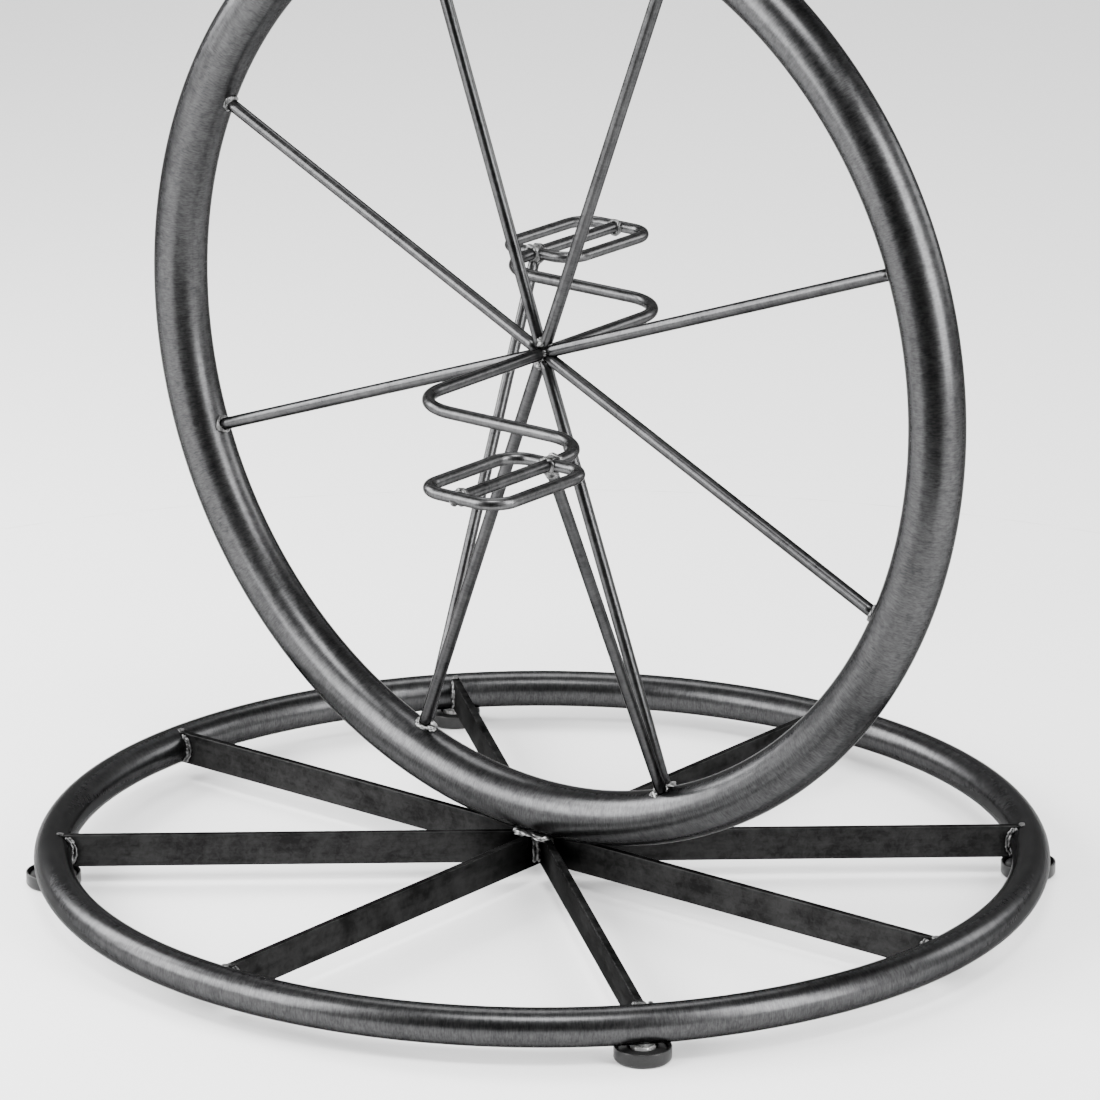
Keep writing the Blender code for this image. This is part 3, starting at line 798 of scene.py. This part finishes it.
core_low, core_high = (np.array(v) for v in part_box("base_weld_core"))
core_half = (core_high[2] - core_low[2]) / 2
core_middle = (0, 0, (core_low[2] + core_high[2]) / 2)
corner_turns = sorted(v % (2 * math.pi) for v in bar_headings.values())
base_shells = [lump(core_middle, (CORE_RADIUS, CORE_RADIUS, core_half), 120, 0.05)]
for k in range(8):
    at_turn = corner_turns[k] + (corner_turns[(k + 1) % 8] - corner_turns[k]) % (2 * math.pi) / 2
    out = np.array([math.cos(at_turn), math.sin(at_turn), 0.0])
    ends = [out * away + (0, 0, height) for away, height in (CORNER_BEAD_LOW, CORNER_BEAD_HIGH)]
    base_shells.append(bead(straight(*ends, 8), CORNER_BEAD, 130 + k))
base_shells += [bead(path, radius, 150 + k) for k, (path, radius) in enumerate(FRONT_BEADS)]
finished(skin_mesh("base_weld", *base_shells), weld_dark, "frame", "weld_metal", "base_weld_core")

seam_steel = weld_steel("seam_steel", (0.05, 0.05, 0.05), (0.22, 0.22, 0.218))
seam_shells = []
for side in (-1, 1):
    wander = np.linspace(SEAM_FROM, SEAM_TO, 16)
    beside = side * (SEAM_BESIDE + 0.0006 * np.sin(wander * 900))
    seam = np.stack([wander, beside, SEAM_HEIGHT + 0.0003 * np.cos(wander * 1300)], axis=-1)
    seam_shells.append(bead(seam, SEAM_BEAD, 140 + side, amount=0.3))
    seam_shells += [lump((x, side * y, z), axes, 152 + k, amount)
                    for k, ((x, y, z), axes, amount) in enumerate(SEAM_LUMPS)]
finished(skin_mesh("base_seams", *seam_shells), seam_steel, "frame", "weld_metal")

# ---------------------------------------------------------------------------------------------
# Ring welds: two thin wavy beads down each face of every bar's curved end, where it meets the
# ring, and a few small droplets on top.
# ---------------------------------------------------------------------------------------------
RING_BEADS = ((0.0002, 0.0010, 2), (0.0018, 0.0007, 18))  # set back, radius, seed
RING_BEAD_LOW, RING_BEAD_HIGH = -0.0066, 0.0072
DROPLET = (0.0018, 0.0018, 0.0007)
TIP_BACK, TIP_RISE = 0.0032, 0.0082

for k, (side_name, heading) in enumerate(bar_headings.items()):
    out = np.array([math.cos(heading), math.sin(heading), 0.0])
    across = np.array([-out[1], out[0], 0.0])
    height = np.linspace(RING_BEAD_LOW, RING_BEAD_HIGH, 12)
    edge = ring_radius - np.sqrt((ring_tube + 0.0002) ** 2 - height ** 2)
    shells = []
    for sign in (-1, 1):
        for back, thick, seed in RING_BEADS:
            wobble = 0.0002 * np.sin(height * 2300 + k + sign)
            line = (out * (edge - back + wobble)[:, None] + across * sign * (BAR_THICK / 2 + 0.0001)
                    + np.array([0, 0, 1.0]) * (ring_z + height)[:, None])
            shells.append(bead(line, thick, 200 + 10 * k + sign + seed, amount=0.3))
    tip = out * (ring_radius - TIP_BACK) + np.array([0, 0, ring_z + TIP_RISE])
    shells.append(lump(tip, DROPLET, 300 + k, 0.25))
    if side_name == "front":
        shells.append(lump(tip - across * 0.0030 - out * 0.0004, (0.0013, 0.0013, 0.0010), 320, 0.2))
        shells.append(lump(tip + across * 0.0042 - out * 0.0002, (0.0011, 0.0011, 0.0009), 321, 0.2))
    finished(skin_mesh("ring_weld_" + side_name, *shells), weld_dark, "frame", "weld_metal")

# ---------------------------------------------------------------------------------------------
# Pedal welds: collars where the middle bar and the crank rod meet the pedal's short sides, a
# drip outside each joint, and a lump under the inner one where the strut comes up.
# ---------------------------------------------------------------------------------------------
CROSSWAYS = (0, 1.0, 0)
LENGTHWAYS = (1.0, 0, 0)
COLLAR_THICK = 0.0012

for j, (key, sign) in enumerate((("front", 1), ("rear", -1))):
    mid, half, rod = pedal_middles[key]
    inner, outer = mid + (0, sign * half[1], 0), mid - (0, sign * half[1], 0)
    top = strut_ends[key][0]
    shells = [collar(inner - (0, sign * rod, 0), CROSSWAYS, rod + 0.0002, COLLAR_THICK, 400 + j),
              collar(outer + (0, sign * rod, 0), CROSSWAYS, rod + 0.0002, COLLAR_THICK, 402 + j),
              collar(inner + (0, sign * rod, 0), CROSSWAYS, CRANK_RADIUS + 0.0002, 0.0014, 404 + j),
              collar(inner, LENGTHWAYS, rod + 0.0001, COLLAR_THICK, 406 + j),
              lump(outer - (0.0006, sign * rod * 0.6, rod * 0.7), (0.0018, 0.0016, 0.0014), 410 + j, 0.2),
              lump(outer + (-0.0010, sign * rod, rod * 0.7), (0.0022, 0.0020, 0.0014), 412 + j, 0.2),
              lump(inner + (0.0003, sign * 0.0006, rod * 0.9), (0.0026, 0.0030, 0.0013), 414 + j, 0.2),
              lump(top - (0, 0, 0.0022), (0.0032, 0.0034, 0.0028), 416 + j, 0.2)]
    finished(skin_mesh("pedal_weld_" + key, *shells), weld_dark, "frame", "weld_metal")

# ---------------------------------------------------------------------------------------------
# Levelling feet: a threaded steel bushing pressed into the ring, a zinc-plated screw with a
# hexagon at its foot, and a round black plastic pad moulded round the screw's head.
# ---------------------------------------------------------------------------------------------
BUSH_RADIUS = 0.0043
BUSH_INSIDE = 0.0033
BUSH_BEVEL = 0.0003
SCREW_RADIUS = 0.0029
SCREW_PITCH = 0.00100
SCREW_DEPTH = 0.00055
SCREW_LOW = 0.0066
SCREW_ABOVE = 0.0028
SCREW_SIDES = 36
HEX_HALF = 0.0050
HEX_SIDES = 96
# The hexagon's levels, and the round limit that cuts its corners at each.
HEX_LEVELS = np.array([0.0034, 0.0036, 0.0064, 0.0068, 0.0071])
HEX_LIMITS = np.array([0.0053, 0.0060, 0.0060, 0.0054, 0.0049])
PAD_RADIUS = 0.0129
PAD_TOP = 0.0068
PAD_SHINE = 0.28


def turned(profile, spot, closed, sides=72):
    """Surface of revolution about the upright line through a spot, from (radius, height) pairs."""
    a = np.linspace(0, 2 * np.pi, sides, endpoint=False)
    r, z = np.asarray(profile, float).T[..., None]
    pts = np.stack([spot[0] + r * np.cos(a), spot[1] + r * np.sin(a), z + 0 * a], axis=-1)
    return pts, pts, closed, not closed


def corner_arc(r, z, radius, start, end):
    """Points (radius, height) on a small arc round a profile's corner."""
    a = np.radians(np.linspace(start, end, 7))
    return np.stack([r + radius * np.cos(a), z + radius * np.sin(a)], axis=-1)


def plated(name, colour, rough, metallic, grain, depth):
    """Even surface with a fine grain that changes its colour and roughness a little."""
    mat = bpy.data.materials.new(name)
    mat.use_nodes = True
    tree = mat.node_tree
    link = tree.links.new
    bsdf = tree.nodes["Principled BSDF"]
    bsdf.inputs["Metallic"].default_value = metallic
    place = node(tree, "ShaderNodeTexCoord")
    noise = node(tree, "ShaderNodeTexNoise", Scale=grain, Detail=4.0, Roughness=0.6)
    link(place.outputs["Object"], noise.inputs["Vector"])
    tint = node(tree, "ShaderNodeValToRGB")
    tint.color_ramp.elements[0].position = 0.35
    tint.color_ramp.elements[0].color = (*[0.65 * v for v in colour], 1.0)
    tint.color_ramp.elements[1].position = 0.65
    tint.color_ramp.elements[1].color = (*colour, 1.0)
    link(noise.outputs["Fac"], tint.inputs["Fac"])
    link(tint.outputs["Color"], bsdf.inputs["Base Color"])
    shine = node(tree, "ShaderNodeMapRange")
    shine.inputs["To Min"].default_value = rough - 0.08
    shine.inputs["To Max"].default_value = rough + 0.12
    link(noise.outputs["Fac"], shine.inputs["Value"])
    link(shine.outputs["Result"], bsdf.inputs["Roughness"])
    bump = node(tree, "ShaderNodeBump", Strength=0.4, Distance=depth)
    link(noise.outputs["Fac"], bump.inputs["Height"])
    link(bump.outputs["Normal"], bsdf.inputs["Normal"])
    return mat


zinc = plated("zinc_plate", (0.72, 0.72, 0.71), 0.28, 0.55, 500.0, 0.000008)
bushing_steel = plated("bushing_steel", (0.30, 0.30, 0.30), 0.35, 1.0, 700.0, 0.00003)
black_plastic = plated("black_plastic", (0.013, 0.013, 0.013), 0.30, 0.0, 1500.0, 0.00002)
black_plastic.node_tree.nodes["Principled BSDF"].inputs["Specular IOR Level"].default_value = PAD_SHINE
for side_name, spot in foot_spots.items():
    body = "foot_" + side_name
    bush_low, bush_high = (v[2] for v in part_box("foot_bush_" + side_name))
    profile = [(BUSH_INSIDE + BUSH_BEVEL, bush_low), (BUSH_RADIUS, bush_low), (BUSH_RADIUS, bush_high),
               (BUSH_INSIDE, bush_high), (BUSH_INSIDE, bush_low + BUSH_BEVEL)]
    bushing = skin_mesh("bushing_" + side_name, turned(profile, spot, True))
    bushing.data.polygons.foreach_set("use_smooth", [False] * len(bushing.data.polygons))
    finished(bushing, bushing_steel, "frame", "zinc_steel", "foot_bush_" + side_name)

    profile = np.concatenate([
        [(0.0004, 0.0), (0.0060, 0.0)], corner_arc(PAD_RADIUS - 0.0018, 0.0018, 0.0018, -90, 0),
        [(PAD_RADIUS, 0.0040)], corner_arc(PAD_RADIUS - 0.0005, PAD_TOP - 0.0005, 0.0005, 0, 170),
        [(0.01185, 0.0052), (0.0117, 0.0042), (0.0113, 0.0039), (0.0110, 0.0041), (0.0108, 0.0051)],
        corner_arc(0.0104, 0.0051, 0.0004, 0, 80), [(0.0090, 0.0060), (0.0072, 0.0064)],
        corner_arc(0.0071, 0.0061, 0.0003, 90, 180),
        [(0.0067, 0.0040), (0.0064, 0.0032), (0.0040, 0.0031), (0.0004, 0.0031)]])
    pad = skin_mesh("pad_" + side_name, turned(profile, spot, False, 96))
    finished(pad, black_plastic, body, "black_plastic", "foot_pad_" + side_name)

    a = np.linspace(0, 2 * np.pi, HEX_SIDES, endpoint=False)
    flat = HEX_HALF / np.cos((a + np.pi / 6) % (np.pi / 3) - np.pi / 6)
    r, z = np.minimum(flat, HEX_LIMITS[:, None]), HEX_LEVELS[:, None]
    hexagon = np.stack([spot[0] + r * np.cos(a), spot[1] + r * np.sin(a), z + 0 * a], axis=-1)
    z = np.arange(SCREW_LOW, ring_z + SCREW_ABOVE, SCREW_PITCH / 12)[:, None]
    a = np.linspace(0, 2 * np.pi, SCREW_SIDES, endpoint=False)
    phase = (z / SCREW_PITCH - a / (2 * np.pi)) % 1.0
    r = SCREW_RADIUS - SCREW_DEPTH * (1 - np.abs(2 * phase - 1))
    thread = np.stack([spot[0] + r * np.cos(a), spot[1] + r * np.sin(a), z + 0 * a], axis=-1)
    screw = skin_mesh("screw_" + side_name, (hexagon, hexagon, False, True), (thread, thread, False, True))
    hex_faces = HEX_SIDES * (len(HEX_LEVELS) - 1) + 2 * HEX_SIDES
    smooth = np.arange(len(screw.data.polygons)) >= hex_faces
    screw.data.polygons.foreach_set("use_smooth", smooth.tolist())
    finished(screw, zinc, body, "zinc_steel", "foot_stem_" + side_name)
